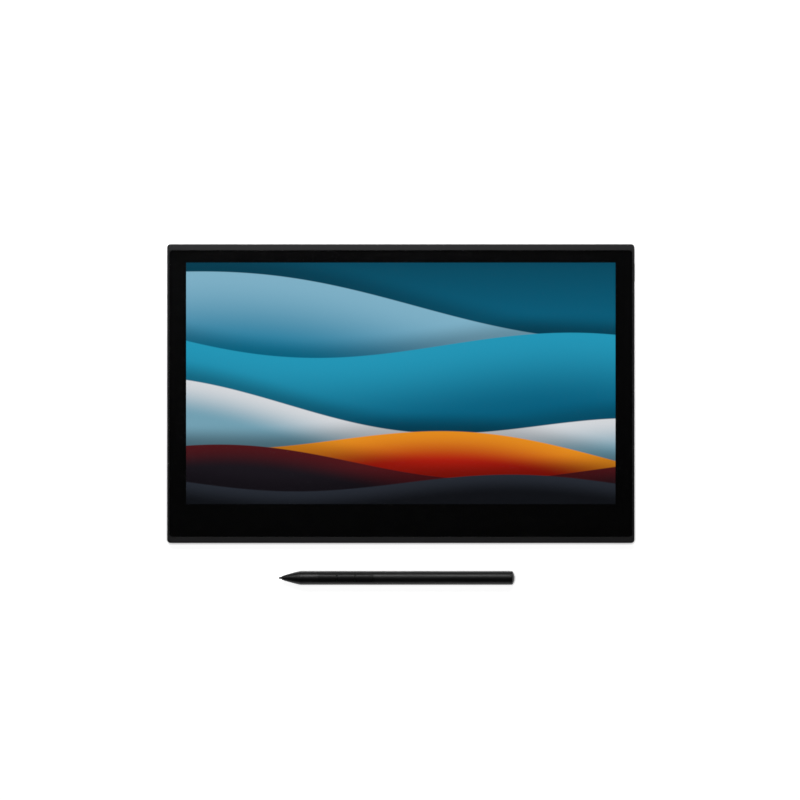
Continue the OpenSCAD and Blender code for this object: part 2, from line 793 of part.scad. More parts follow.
module port_board(l) {
    difference() {
        translate([port_x - port_board_w / 2, port_near, z_port]) cube([port_board_w, l, board_t]);
        translate([body_w / 2 - socket_setback - socket_l - socket_gap,
            socket_y - socket_w / 2 - socket_gap, z_port - over])
            cube([socket_l + over, socket_w + 2 * socket_gap, board_t + 2 * over]);
    }
}

module left_port_board() {
    color("#1d5c38") place_tablet() difference() {
        mirror([1, 0, 0]) port_board(left_board_l);
        board_bores(port_screw_spots, z_port);
    }
}

module right_port_board() {
    color("#1d5c38") place_tablet() difference() {
        port_board(right_board_l);
        board_bores(port_screw_spots, z_port);
    }
}

// USB-C socket, drawn on the right side with its mouth towards +X
module usb_socket() {
    translate([body_w / 2 - socket_setback, socket_y, z_socket]) rotate([90, 0, 90]) difference() {
        translate([0, 0, -socket_l]) linear_extrude(socket_l) stadium(socket_w, socket_h);
        translate([0, 0, -socket_l + socket_t]) linear_extrude(socket_l)
            stadium(socket_w - 2 * socket_t, socket_h - 2 * socket_t);
    }
}

// Base block at the back of the socket with the tongue that carries the contacts
module usb_tongue() {
    base_gap = 0.02;
    base_l = 1.2;
    side_room = 0.825;
    mouth_room = 0.6;
    inner_w = socket_w - 2 * socket_t;
    inner_h = socket_h - 2 * socket_t;
    tongue_w = inner_w - 2 * side_room;
    translate([body_w / 2 - socket_setback, socket_y, z_socket]) rotate([90, 0, 90]) {
        translate([0, 0, -socket_l + socket_t + base_gap]) linear_extrude(base_l)
            stadium(inner_w - 2 * base_gap, inner_h - 2 * base_gap);
        translate([-tongue_w / 2, -tongue_t / 2, -socket_l + socket_t + play])
            cube([tongue_w, tongue_t, socket_l - socket_t - play - mouth_room]);
    }
}

module left_usb_socket() {
    color("#b9bcbf") place_tablet() mirror([1, 0, 0]) usb_socket();
}

module right_usb_socket() {
    color("#b9bcbf") place_tablet() usb_socket();
}

module left_usb_tongue() {
    color("#141414") place_tablet() mirror([1, 0, 0]) usb_tongue();
}

module right_usb_tongue() {
    color("#141414") place_tablet() usb_tongue();
}

// Power button and status light

module power_switch() {
    color("#c9c9c4") place_tablet()
        translate([power_switch_x, button_y - power_switch_size[1] / 2, z_port_top])
            cube(power_switch_size);
}

// Key in the side wall, a flange behind the wall and a nose that reaches the switch
module power_button() {
    key_l = body_w / 2 + button_proud - button_flange_x;
    flange_lip = 1;
    plate_h = button_h + 0.35;
    nose_x = power_switch_x + power_switch_size[0] + button_travel + play;
    nose_w = 3;
    nose_h = 0.55;
    nose_rise = 0.15;
    color("#333335") place_tablet() {
        translate([button_flange_x - eps, button_y, z_button]) rotate([90, 0, 90])
            linear_extrude(key_l + eps) stadium(button_l, button_h);
        translate([button_flange_x - button_flange_t, button_y - button_l / 2 - flange_lip,
            z_button - button_h / 2 - play])
            cube([button_flange_t, button_l + 2 * flange_lip, plate_h]);
        translate([nose_x, button_y - nose_w / 2, z_port_top + nose_rise])
            cube([button_flange_x - nose_x, nose_w, nose_h]);
    }
}

module status_led() {
    led = [0.9, 1.6, 0.6];
    led_setback = 2.6;
    color("#e8e4d0") place_tablet()
        translate([wall_in_x - led_setback, light_y - led[1] / 2, z_port_top]) cube(led);
}

// Light guide with a collar behind the wall
module status_lens() {
    collar_d = light_d + 0.6;
    collar_h = 0.7;
    collar_x = wall_in_x - collar_h - play;
    color("#e9edf0") place_tablet() translate([collar_x, light_y, light_z]) rotate([0, 90, 0]) {
        cylinder(d = light_d, h = collar_h + play + side_wall_t);
        cylinder(d = collar_d, h = collar_h);
    }
}

// Feet and screws

module rubber_feet() {
    color("#1a1a1b") place_tablet()
        linear_extrude(foot_proud + foot_pocket) foot_outlines(0);
}

module housing_screws() {
    drive_l = 1.5;
    drive_w = 0.32;
    drive_depth = 0.35;
    color("#8a8d90") place_tablet()
        for (p = screw_spots)
            translate([p[0], p[1], z_head]) difference() {
                union() {
                    cylinder(d = screw_head_d, h = screw_head_h);
                    cylinder(d = screw_d, h = screw_head_h + screw_l);
                }
                for (a = [0, 90])
                    rotate(a) translate([-drive_l / 2, -drive_w / 2, -over])
                        cube([drive_l, drive_w, over + drive_depth]);
            }
}

module board_screws() {
    color("#8a8d90") place_tablet() {
        for (p = main_screw_spots)
            translate([p[0], p[1], z_main_top]) board_screw(main_post_h + board_t);
        for (p = port_screw_spots)
            translate([p[0], p[1], z_port_top]) board_screw(z_port_top - z_floor - end_room);
    }
}

module board_screw(l) {
    cylinder(d = board_head_d, h = board_head_h);
    translate([0, 0, -l]) cylinder(d = board_screw_d, h = l + eps);
}

// Pen

function cone_r(u) =
    let (t = (u - nib_out) / (cone_l - nib_out))
        mouth_r + (pen_r - mouth_r) * t * (1 + cone_bulge * (1 - t));

// Stretch of a round bar from one place along the pen to another
module bar(r, u0, u1) {
    translate([0, 0, u0]) cylinder(r = r, h = u1 - u0);
}

module tube(r_out, r_in, u0, u1) {
    difference() {
        bar(r_out, u0, u1);
        bar(r_in, u0 - over, u1 + over);
    }
}

module pen_barrel() {
    color("#1f1f20") place_pen() difference() {
        tube(pen_r, bore_r, cone_l, cap_start);
        translate([0, 0, switch_start + switch_span / 2]) rotate([0, 90, 0])
            linear_extrude(pen_r + over)
                rounded_rect(switch_span + 2 * switch_gap, switch_w + 2 * switch_gap,
                    switch_corner_r + switch_gap);
    }
}

module pen_tip_cone() {
    steps = 10;
    outer = [for (i = [0:steps]) let (u = nib_out + (cone_l - nib_out) * i / steps) [cone_r(u), u]];
    color("#1f1f20") place_pen() difference() {
        rotate_extrude() polygon(concat(
            [[0, nib_out]], outer, [[slip_r, cone_l], [slip_r, spigot_end], [0, spigot_end]]
        ));
        bar(nib_d / 2 + nib_gap, 0, spigot_end);
        bar(core_r + slip_gap, core_start - play, spigot_end + over);
        bar(coil_r + slip_gap, coil_start - play, spigot_end + over);
    }
}

module pen_nib() {
    point_r = nib_point_d / 2;
    nib_r = nib_d / 2;
    arc = [for (a = [0:15:90]) [point_r * sin(a), point_r * (1 - cos(a))]];
    color("#2a2a2b") place_pen()
        rotate_extrude() polygon(concat(
            arc, [[nib_r, nib_out - nib_travel], [nib_r, nib_end], [0, nib_end]]
        ));
}

module pen_ferrite_core() {
    color("#303236") place_pen() tube(core_r, nib_d / 2 + nib_gap, core_start, core_end);
}

module pen_coil() {
    color("#b06a2c") place_pen() tube(coil_r, core_r + slip_gap / 2, coil_start, core_end - 1);
}

module pen_pressure_sensor() {
    color("#cfcbbf") place_pen() difference() {
        bar(slip_r - 0.4, sensor_start, sensor_end);
        bar(nib_d / 2 + nib_gap, sensor_start - over, nib_end + nib_travel + end_room);
    }
}

// Half-round cradle with cross walls that carries the board
module pen_chassis() {
    shell_t = 0.6;
    walls = 6;
    wall_t = 1;
    wall_pitch = (chassis_end - chassis_start - wall_t) / (walls - 1);
    board_seat = pen_board_top - pen_board_t;
    color("#35373a") place_pen() difference() {
        union() {
            tube(slip_r, slip_r - shell_t, chassis_start, chassis_end);
            for (i = [0:walls - 1])
                translate([0, 0, chassis_start + i * wall_pitch])
                    cylinder(r = slip_r - shell_t / 2, h = wall_t);
        }
        translate([board_seat, -pen_d, chassis_start - over])
            cube([pen_d, 2 * pen_d, chassis_end - chassis_start + 2 * over]);
    }
}

module pen_board() {
    color("#1d5c38") place_pen()
        translate([pen_board_top - pen_board_t, -pen_board_w / 2, chassis_start + 0.3])
            cube([pen_board_t, pen_board_w, chassis_end - chassis_start - 0.6]);
}

module pen_switch_domes() {
    dome_w = 3.2;
    color("#b9bcbf") place_pen()
        for (i = [0:2])
            translate([pen_board_top, -dome_w / 2,
                switch_start + (switch_l - dome_w) / 2 + i * switch_pitch])
                cube([dome_h, dome_w, dome_w]);
}

// Key with a round back that follows the barrel, on a flange that keeps it inside
module side_switch(i) {
    flange_w = switch_w + 1;
    flange_l = switch_l - 0.6;
    color("#262628") place_pen() translate([0, 0, switch_start + switch_l / 2 + i * switch_pitch]) {
        intersection() {
            translate([0, 0, -switch_l]) cylinder(r = pen_r + switch_proud, h = 2 * switch_l);
            translate([flange_h - eps, 0, 0]) rotate([0, 90, 0])
                linear_extrude(pen_d) rounded_rect(switch_l, switch_w, switch_corner_r);
        }
        translate([flange_h - flange_t, -flange_w / 2, -flange_l / 2])
            cube([flange_t, flange_w, flange_l]);
    }
}

module side_switch_front() {
    side_switch(0);
}

module side_switch_middle() {
    side_switch(1);
}

module side_switch_rear() {
    side_switch(2);
}

module pen_tail_cap() {
    dome_r = (cap_dome * cap_dome + pen_r * pen_r) / (2 * cap_dome);
    dome_a = asin(pen_r / dome_r);
    steps = 8;
    dome = [
        for (i = [0:steps])
            let (a = dome_a * (1 - i / steps))
                [dome_r * sin(a), pen_l - dome_r * (1 - cos(a))]
    ];
    color("#1f1f20") place_pen()
        rotate_extrude() polygon(concat(
            [[0, magazine_end], [slip_r, magazine_end], [slip_r, cap_start], [pen_r, cap_start]], dome
        ));
}

// Holder for spare nibs that comes out with the tail cap
module nib_magazine() {
    color("#3a3c3f") place_pen() difference() {
        bar(slip_r - 0.3, magazine_start, magazine_end);
        spare_places() bar(nib_d / 2 + nib_gap, magazine_start + magazine_floor, magazine_end + over);
    }
}

module spare_places() {
    for (a = [0:120:240])
        rotate(a) translate([slip_r / 2, 0, 0]) children();
}

module spare_nibs() {
    spare_start = magazine_start + magazine_floor + play;
    color("#2a2a2b") place_pen() spare_places() bar(nib_d / 2, spare_start, spare_start + spare_l);
}

rear_cover();
front_frame();
cover_glass();
border_mask();
glass_tape();
optical_bond();
display_panel();
panel_flexes();
digitizer_board();
digitizer_flex();
shield_plate();
heat_spreader();
cushion_strips();
main_board();
main_chips();
shield_can();
cable_connectors();
left_port_board();
right_port_board();
left_usb_socket();
right_usb_socket();
left_usb_tongue();
right_usb_tongue();
left_port_flex();
right_port_flex();
power_switch();
status_led();
status_lens();
rubber_feet();
housing_screws();
board_screws();
power_button();
pen_barrel();
pen_tip_cone();
pen_ferrite_core();
pen_coil();
pen_pressure_sensor();
pen_chassis();
pen_board();
pen_switch_domes();
pen_nib();
side_switch_front();
side_switch_middle();
side_switch_rear();
pen_tail_cap();
nib_magazine();
spare_nibs();
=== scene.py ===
"""Looks of the pen display and its pen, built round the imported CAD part.

All objects are in the part's own frame, in metres, with +Z up.
"""

import math

import bmesh
import bpy
from mathutils import Matrix, Vector


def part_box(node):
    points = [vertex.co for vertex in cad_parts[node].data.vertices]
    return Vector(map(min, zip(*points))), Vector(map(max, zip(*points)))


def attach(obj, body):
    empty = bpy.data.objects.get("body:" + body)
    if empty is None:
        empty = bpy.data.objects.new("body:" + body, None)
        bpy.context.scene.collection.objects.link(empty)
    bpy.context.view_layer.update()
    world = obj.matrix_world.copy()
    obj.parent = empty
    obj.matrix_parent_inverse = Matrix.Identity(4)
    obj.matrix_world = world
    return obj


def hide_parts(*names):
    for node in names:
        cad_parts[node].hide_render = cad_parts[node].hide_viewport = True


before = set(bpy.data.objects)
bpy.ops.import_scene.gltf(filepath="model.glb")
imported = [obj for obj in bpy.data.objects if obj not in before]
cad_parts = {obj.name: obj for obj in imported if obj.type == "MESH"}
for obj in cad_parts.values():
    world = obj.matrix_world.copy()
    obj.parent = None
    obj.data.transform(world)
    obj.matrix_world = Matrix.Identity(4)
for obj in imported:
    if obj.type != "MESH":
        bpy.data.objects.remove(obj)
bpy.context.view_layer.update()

# Shapes are drawn in millimetres and brought to metres when a piece is finished
MM = 0.001
# Points that are nearer than this count as one: those of a CAD solid, and of a drawn shape
WELD = 0.002
FINE_WELD = WELD / 10
X, Y, Z = range(3)
# Share of an edge or a normal along an axis above which it is true to that axis
TRUE_TO_AXIS = 0.999
FULL_TURN = 2 * math.pi
# Angles between two faces: they are one face below the first, their edge is shaded sharp above
# the second, and it is broken above the third
ONE_FACE = math.radians(0.5)
SHADED_SHARP = math.radians(35)
BROKEN = math.radians(40)
LATHE_STEPS = 96


# Shape tools


def box_mm(node):
    """Lowest and highest corner of a CAD node, in millimetres."""
    low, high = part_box(node)
    return low / MM, high / MM


def block(low, high):
    """A bmesh box between two corners, as the blank for a moulded or cut piece."""
    low, high = Vector(low), Vector(high)
    bm = bmesh.new()
    place = Matrix.Translation((low + high) / 2) @ Matrix.Diagonal((high - low).to_4d())
    bmesh.ops.create_cube(bm, size=1.0, matrix=place)
    return bm


def round_edges(bm, edges, radius, segments):
    bmesh.ops.bevel(
        bm,
        geom=list(edges),
        offset=radius,
        offset_type="OFFSET",
        segments=segments,
        profile=0.5,
        affect="EDGES",
        clamp_overlap=True,
        material=-1,
    )


def edges_along(bm, axis):
    """Straight edges that run along one axis."""
    found = []
    for edge in bm.edges:
        run = edge.verts[1].co - edge.verts[0].co
        if abs(run[axis]) > TRUE_TO_AXIS * run.length:
            found.append(edge)
    return found


def edges_at(bm, axis, level):
    """Edges that lie wholly at one level of an axis."""
    return [e for e in bm.edges if all(abs(v.co[axis] - level) < WELD for v in e.verts)]


def faces_down(bm):
    """Level faces that look down."""
    bm.normal_update()
    return [f for f in bm.faces if f.normal.z < -TRUE_TO_AXIS]


def everything(bm):
    return list(bm.verts) + list(bm.edges) + list(bm.faces)


def points_of(geom):
    return [g for g in geom if isinstance(g, bmesh.types.BMVert)]


def lathe(profile, start_x, axis_y, axis_z, closed):
    """Turns a profile of (distance along X, radius) points about a line along X."""
    bm = bmesh.new()
    points = [bm.verts.new((start_x + u, axis_y, axis_z + r)) for u, r in profile]
    following = points[1:] + points[:1] if closed else points[1:]
    lines = [bm.edges.new(pair) for pair in zip(points, following)]
    bmesh.ops.spin(
        bm,
        geom=points + lines,
        cent=(0, axis_y, axis_z),
        axis=(1, 0, 0),
        angle=FULL_TURN,
        steps=LATHE_STEPS,
        use_merge=True,
    )
    bmesh.ops.remove_doubles(bm, verts=bm.verts, dist=FINE_WELD)
    return bm


def softened_copy(node, radius, segments):
    """The CAD solid, with its sharp outward edges broken where it is given a radius."""
    bm = bmesh.new()
    bm.from_mesh(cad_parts[node].data)
    bmesh.ops.scale(bm, vec=(1 / MM,) * 3, verts=bm.verts)
    bmesh.ops.remove_doubles(bm, verts=bm.verts, dist=WELD)
    bmesh.ops.dissolve_limit(bm, angle_limit=ONE_FACE, verts=bm.verts, edges=bm.edges)
    if radius:
        outward = [e for e in bm.edges if e.is_manifold and e.is_convex]
        sharp = [e for e in outward if e.calc_face_angle() > BROKEN]
        round_edges(bm, sharp, radius, segments)
    return bm


def arc(centre, radius, start, end, steps):
    """Points of a circular arc in a profile, with its angles in degrees."""
    turns = [math.radians(start + (end - start) * i / steps) for i in range(steps + 1)]
    return [(centre[0] + radius * math.cos(a), centre[1] + radius * math.sin(a)) for a in turns]


def finish_piece(name, bm, finish, body, stands_for=()):
    """Turns a bmesh into a piece of the model that rides on a body."""
    bmesh.ops.recalc_face_normals(bm, faces=bm.faces)
    bmesh.ops.scale(bm, vec=(MM,) * 3, verts=bm.verts)
    mesh = bpy.data.meshes.new(name)
    bm.to_mesh(mesh)
    bm.free()
    mesh.shade_smooth()
    mesh.set_sharp_from_angle(angle=SHADED_SHARP)
    mesh.materials.append(finish)
    piece = bpy.data.objects.new(name, mesh)
    bpy.context.scene.collection.objects.link(piece)
    even = piece.modifiers.new("even_shading", "WEIGHTED_NORMAL")
    even.mode = "FACE_AREA"
    even.keep_sharp = True
    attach(piece, body)
    if stands_for:
        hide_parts(*stands_for)
    return piece


# Material tools

# Places of a Mix node's sockets when it mixes colours
MIX_SHARE, MIX_FIRST, MIX_SECOND, MIX_RESULT = 0, 6, 7, 2
# Levels between which most of a noise lies
NOISE_LOW, NOISE_HIGH = 0.3, 0.7
# Radians that a wave texture turns through per unit of its scale
WAVE_RATE = 20


def srgb(red, green, blue):
    """A colour of 0 to 255 as seen on a screen, as the linear colour that a node takes."""
    def linear(level):
        share = level / 255
        return share / 12.92 if share <= 0.04045 else ((share + 0.055) / 1.055) ** 2.4
    return (linear(red), linear(green), linear(blue), 1.0)


def grey(share):
    return (share, share, share, 1.0)


def toned(colour, factor):
    return tuple(min(1.0, c * factor) for c in colour[:3]) + (1.0,)


class Finish:
    """A node material with one Principled shader that reads Object coordinates."""

    def __init__(self, name):
        self.material = bpy.data.materials.new(name)
        self.material.use_nodes = True
        self.tree = self.material.node_tree
        self.tree.nodes.clear()
        self.shader = self.add("BsdfPrincipled")
        self.output = self.add("OutputMaterial", Surface=self.shader.outputs["BSDF"])
        self.place = self.add("TexCoord").outputs["Object"]

    def put(self, socket, value):
        if isinstance(value, bpy.types.NodeSocket):
            self.tree.links.new(value, socket)
        else:
            socket.default_value = value

    def add(self, kind, settings=None, **sockets):
        made = self.tree.nodes.new("ShaderNode" + kind)
        for key, value in (settings or {}).items():
            setattr(made, key, value)
        for key, value in sockets.items():
            self.put(made.inputs[key.replace("_", " ")], value)
        return made

    def set(self, **sockets):
        for key, value in sockets.items():
            self.put(self.shader.inputs[key.replace("_", " ")], value)

    def math(self, operation, *values):
        made = self.add("Math", {"operation": operation})
        for socket, value in zip(made.inputs, values):
            self.put(socket, value)
        return made.outputs[0]

    def blend(self, share, first, second, mode="MIX"):
        made = self.add("Mix", {"data_type": "RGBA", "blend_type": mode})
        self.put(made.inputs[MIX_SHARE], share)
        self.put(made.inputs[MIX_FIRST], first)
        self.put(made.inputs[MIX_SECOND], second)
        return made.outputs[MIX_RESULT]

    def mix_shaders(self, share, first, second):
        """Shows the first shader where the share is 0 and the second where it is 1."""
        made = self.add("MixShader")
        for socket, value in zip(made.inputs, (share, first.outputs[0], second.outputs[0])):
            self.put(socket, value)
        self.put(self.output.inputs["Surface"], made.outputs[0])

    def ramp(self, value, low, high, start=0.0, end=1.0, smooth=False):
        """Brings a value from low..high to start..end and holds it there."""
        settings = {"interpolation_type": "SMOOTHSTEP" if smooth else "LINEAR"}
        made = self.add("MapRange", settings, Value=value, From_Min=low, From_Max=high,
                        To_Min=start, To_Max=end)
        return made.outputs[0]

    def noise(self, size_mm, detail=3.0, roughness=0.55, stretch=None):
        """Cloudy noise with features of about this size. stretch draws it out along an axis."""
        place = self.place
        if stretch:
            place = self.add("Mapping", Vector=place, Scale=stretch).outputs[0]
        made = self.add("TexNoise", Vector=place, Scale=1 / (size_mm * MM), Detail=detail,
                        Roughness=roughness)
        return made.outputs["Fac"]

    def from_noise(self, noise, start=0.0, end=1.0):
        """Brings the levels that most of a noise has to start..end."""
        return self.ramp(noise, NOISE_LOW, NOISE_HIGH, start, end)

    def waves(self, direction, pitch_mm):
        """Even lines side by side along one axis."""
        made = self.add("TexWave", {"bands_direction": direction, "wave_profile": "SIN"},
                        Vector=self.place, Scale=FULL_TURN / (WAVE_RATE * pitch_mm * MM))
        return made.outputs["Fac"]

    def bump(self, height, depth_mm, strength=1.0):
        made = self.add("Bump", Strength=strength, Distance=depth_mm * MM, Height=height)
        self.put(self.shader.inputs["Normal"], made.outputs[0])


def moulded(name, colour, roughness, grain_mm, depth_mm, **sockets):
    """Moulded or coated surface: fine grain, slight cloudiness of colour and shine."""
    cloud_mm, cloud_share, grain_share = 28, 0.4, 0.6
    uneven_tone, uneven_shine, relief = 0.12, 0.04, 0.5
    finish = Finish(name)
    cloud = finish.noise(cloud_mm, detail=2)
    grain = finish.noise(grain_mm, detail=4, roughness=0.6)
    clouded = finish.math("MULTIPLY", cloud, cloud_share)
    tone = finish.from_noise(finish.math("MULTIPLY_ADD", grain, grain_share, clouded))
    dark, light = toned(colour, 1 - uneven_tone), toned(colour, 1 + uneven_tone)
    finish.set(
        Base_Color=finish.blend(tone, dark, light),
        Roughness=finish.from_noise(cloud, roughness - uneven_shine, roughness + uneven_shine),
        **sockets,
    )
    finish.bump(grain, depth_mm, relief)
    return finish.material


def brushed(name, colour, roughness, stretch=(1, 14, 14), grain_mm=0.9):
    """Rolled or brushed metal with fine lines along one axis."""
    cloud_mm, line_low, line_high, line_depth_mm = 12, 0.25, 0.75, 0.004
    uneven_tone, uneven_shine, relief = 0.15, 0.06, 0.4
    finish = Finish(name)
    lines = finish.noise(grain_mm, detail=5, roughness=0.7, stretch=stretch)
    cloud = finish.noise(cloud_mm, detail=2)
    tone = finish.ramp(lines, line_low, line_high)
    dark, light = toned(colour, 1 - uneven_tone), toned(colour, 1 + uneven_tone)
    finish.set(
        Base_Color=finish.blend(tone, dark, light),
        Roughness=finish.from_noise(cloud, roughness - uneven_shine, roughness + uneven_shine),
        Metallic=1.0,
    )
    finish.bump(lines, line_depth_mm, relief)
    return finish.material


def circuit_board(name, mask_colour):
    """Solder mask over copper lines, with tinned pads."""
    line_mm, line_depth_mm, line_lift, relief = 2.6, 0.02, 1.9, 0.6
    pad_mm, pad_inner, pad_outer, tin = 2.2, 0.12, 0.16, (0.62, 0.6, 0.54, 1)
    cloud_mm, shiny, dull = 6, 0.3, 0.42
    finish = Finish(name)
    bricks = finish.add("TexBrick", {"offset": 0.37, "squash": 1.7}, Vector=finish.place,
                        Scale=1 / (line_mm * MM), Mortar_Size=0.035, Brick_Width=1.9,
                        Row_Height=0.31, Color1=grey(0), Color2=grey(0), Mortar=grey(1))
    lines = bricks.outputs["Fac"]
    pads = finish.add("TexVoronoi", Vector=finish.place, Scale=1 / (pad_mm * MM))
    spots = finish.ramp(pads.outputs["Distance"], pad_inner, pad_outer, 1, 0)
    copper = finish.blend(lines, mask_colour, toned(mask_colour, line_lift))
    finish.set(
        Base_Color=finish.blend(spots, copper, tin),
        Metallic=spots,
        Roughness=finish.from_noise(finish.noise(cloud_mm), shiny, dull),
    )
    finish.bump(lines, line_depth_mm, relief)
    return finish.material


def flex_film(name, direction):
    """Amber film over copper lines that lie side by side along the given axis."""
    line_mm, line_low, line_high, line_depth_mm, relief = 0.8, 0.35, 0.65, 0.02, 0.5
    film, copper = (0.36, 0.15, 0.03, 1), (0.56, 0.27, 0.07, 1)
    cloud_mm, shiny, dull = 3, 0.28, 0.4
    finish = Finish(name)
    lines = finish.waves(direction, line_mm)
    finish.set(
        Base_Color=finish.blend(finish.ramp(lines, line_low, line_high), film, copper),
        Roughness=finish.from_noise(finish.noise(cloud_mm), shiny, dull),
    )
    finish.bump(lines, line_depth_mm, relief)
    return finish.material


def wound_wire(name, colour, pitch_mm):
    """Fine lacquered wire, wound side by side along X, with painted shade in the grooves
    between its turns.
    """
    groove_low, groove_high, groove_shade, groove_depth_mm = 0.1, 0.7, 0.35, 0.05
    cloud_mm, shiny, dull = 2, 0.24, 0.36
    finish = Finish(name)
    turns = finish.waves("X", pitch_mm)
    tone = finish.ramp(turns, groove_low, groove_high)
    finish.set(
        # The colour darkens to a painted shade in the grooves between turns
        Base_Color=finish.blend(tone, toned(colour, groove_shade), colour),
        Roughness=finish.from_noise(finish.noise(cloud_mm), shiny, dull),
        Metallic=0.9,
    )
    finish.bump(turns, groove_depth_mm)
    return finish.material


def foam(name, colour):
    """Open foam tape with small pores, with painted shade in its pores and painted light on the
    walls between them.
    """
    pore_mm, pore_inner, pore_outer, pore_depth_mm = 0.4, 0.1, 0.6, 0.1
    pore_shade, wall_light, pore_rough, wall_rough = 0.5, 1.3, 0.98, 0.88
    finish = Finish(name)
    cells = finish.add("TexVoronoi", {"feature": "SMOOTH_F1"}, Vector=finish.place,
                       Scale=1 / (pore_mm * MM))
    wall = finish.ramp(cells.outputs["Distance"], pore_inner, pore_outer)
    finish.set(
        # The pores are painted darker as shade, and the walls lighter as light
        Base_Color=finish.blend(wall, toned(colour, pore_shade), toned(colour, wall_light)),
        Roughness=finish.ramp(wall, 0, 1, pore_rough, wall_rough),
    )
    finish.bump(wall, pore_depth_mm)
    return finish.material


def clear_glass(name):
    """Bonded cover glass with a finely etched front. Shadow rays pass straight through it."""
    etch_mm, etch_depth_mm, relief = 0.12, 0.0006, 0.05
    cloud_mm, shiny, dull = 60, 0.05, 0.07
    finish = Finish(name)
    etch = finish.noise(etch_mm, detail=3)
    finish.set(
        Base_Color=(0.97, 0.985, 0.98, 1),
        Roughness=finish.from_noise(finish.noise(cloud_mm, detail=1), shiny, dull),
        IOR=1.5,
        Transmission_Weight=1.0,
    )
    finish.bump(etch, etch_depth_mm, relief)
    shadow = finish.add("LightPath").outputs["Is Shadow Ray"]
    finish.mix_shaders(shadow, finish.shader, finish.add("BsdfTransparent"))
    return finish.material


# Picture on the screen: overlapping soft waves. Each wave has the height of its crest at the
# left edge, its fall towards the right edge, its swing, the turns of that swing across the
# picture, the share of a turn at which it starts, the depth over which its colour changes, and
# its colours at the crest and below. Heights and depths are shares of the picture's height.
WAVES = (
    (0.93, 0.20, 0.060, 0.75, 0.10, 0.34, (124, 172, 194), (10, 118, 152)),
    (0.72, 0.10, 0.085, 0.70, 0.58, 0.32, (34, 146, 178), (6, 92, 122)),
    (0.45, 0.15, 0.070, 0.85, 0.30, 0.15, (208, 210, 214), (112, 156, 174)),
    (0.31, 0.12, 0.070, 0.80, 0.72, 0.13, (222, 136, 30), (170, 28, 14)),
    (0.20, 0.06, 0.055, 0.90, 0.15, 0.10, (74, 20, 24), (24, 20, 26)),
    (0.10, 0.02, 0.040, 0.95, 0.52, 0.08, (36, 40, 48), (14, 16, 20)),
)
SKY_TOP = srgb(6, 70, 92)
SKY_LOW = srgb(10, 104, 136)
SKY_START = 0.55
# Width of a wave's soft edge, reach of the shade that it throws, and light left in that shade
WAVE_EDGE = 0.005
WAVE_SHADE = 0.09
SHADE_LEAST = 0.62
# Strength of the picture, which makes up for what the glass takes
GLASS_LOSS = 1.09
# Depths under the panel's upper face between which its light comes up
UNLIT_UNDER, LIT_OVER = 0.1 * MM, 0.05 * MM


def wave_picture(name, picture_low, picture_high, panel_top):
    """Lit picture on the panel, between two corners in metres, on the upper face alone."""
    finish = Finish(name)
    across, along, up = finish.add("SeparateXYZ", Vector=finish.place).outputs
    u = finish.ramp(across, picture_low[X], picture_high[X])
    v = finish.ramp(along, picture_low[Y], picture_high[Y])
    colour = finish.blend(finish.ramp(v, SKY_START, 1), SKY_LOW, SKY_TOP)
    for left, fall, swing, turns, start, depth, crest, below in WAVES:
        angle = finish.math("MULTIPLY_ADD", u, turns * FULL_TURN, start * FULL_TURN)
        line = finish.math("MULTIPLY_ADD", u, -fall, left)
        height = finish.math("MULTIPLY_ADD", finish.math("SINE", angle), swing, line)
        under = finish.math("SUBTRACT", height, v)
        shade = finish.ramp(under, -WAVE_SHADE, 0, 1, SHADE_LEAST, smooth=True)
        dimmed = finish.blend(1.0, colour, shade, "MULTIPLY")
        tone = finish.ramp(under, 0, depth, smooth=True)
        sheet = finish.blend(tone, srgb(*crest), srgb(*below))
        covered = finish.ramp(under, 0, WAVE_EDGE, smooth=True)
        colour = finish.blend(covered, dimmed, sheet)
    lit = finish.ramp(up, panel_top - UNLIT_UNDER, panel_top - LIT_OVER)
    cloud_mm, shiny, dull = 9, 0.3, 0.36
    finish.set(
        Base_Color=(0.001, 0.001, 0.0012, 1),
        Roughness=finish.from_noise(finish.noise(cloud_mm), shiny, dull),
        Specular_IOR_Level=0.0,
        Emission_Color=finish.blend(lit, grey(0), colour),
        Emission_Strength=GLASS_LOSS,
    )
    return finish.material


# Finishes. A moulded one has its colour, roughness, and the size and depth of its grain in
# millimetres. A brushed one has its colour, roughness, and how its lines are drawn out along
# the axes, with their size in millimetres.

housing_coat = moulded("housing_coat", (0.028, 0.0285, 0.03, 1), 0.5, 0.35, 0.05,
                       Specular_IOR_Level=0.4)
frame_satin = moulded("frame_satin", (0.0185, 0.0185, 0.0192, 1), 0.6, 0.2, 0.012,
                      Specular_IOR_Level=0.06)
black_ink = moulded("black_ink", (0.0018, 0.0018, 0.0019, 1), 0.8, 0.3, 0.002,
                    Specular_IOR_Level=0.0)
glass_clear = clear_glass("glass_clear")
glass_rim = moulded("glass_rim", (0.003, 0.003, 0.0034, 1), 0.35, 0.1, 0.002,
                    Specular_IOR_Level=0.1)
adhesive_tape = moulded("adhesive_tape", (0.014, 0.014, 0.014, 1), 0.85, 0.4, 0.02)
board_green = circuit_board("board_green", (0.012, 0.085, 0.035, 1))
board_black = circuit_board("board_black", (0.008, 0.02, 0.016, 1))
film_along_x = flex_film("film_along_x", "X")
film_along_y = flex_film("film_along_y", "Y")
shield_sheet = brushed("shield_sheet", (0.52, 0.53, 0.55, 1), 0.38)
graphite_sheet = brushed("graphite_sheet", (0.07, 0.07, 0.075, 1), 0.5, (3, 9, 9))
foam_black = foam("foam_black", (0.03, 0.03, 0.032, 1))
chip_epoxy = moulded("chip_epoxy", (0.012, 0.012, 0.013, 1), 0.6, 0.15, 0.01)
connector_nylon = moulded("connector_nylon", (0.62, 0.58, 0.47, 1), 0.5, 0.3, 0.01)
tinned_steel = brushed("tinned_steel", (0.58, 0.58, 0.57, 1), 0.32, (14, 1, 14))
black_steel = brushed("black_steel", (0.05, 0.05, 0.052, 1), 0.4, (1, 1, 1), 0.3)
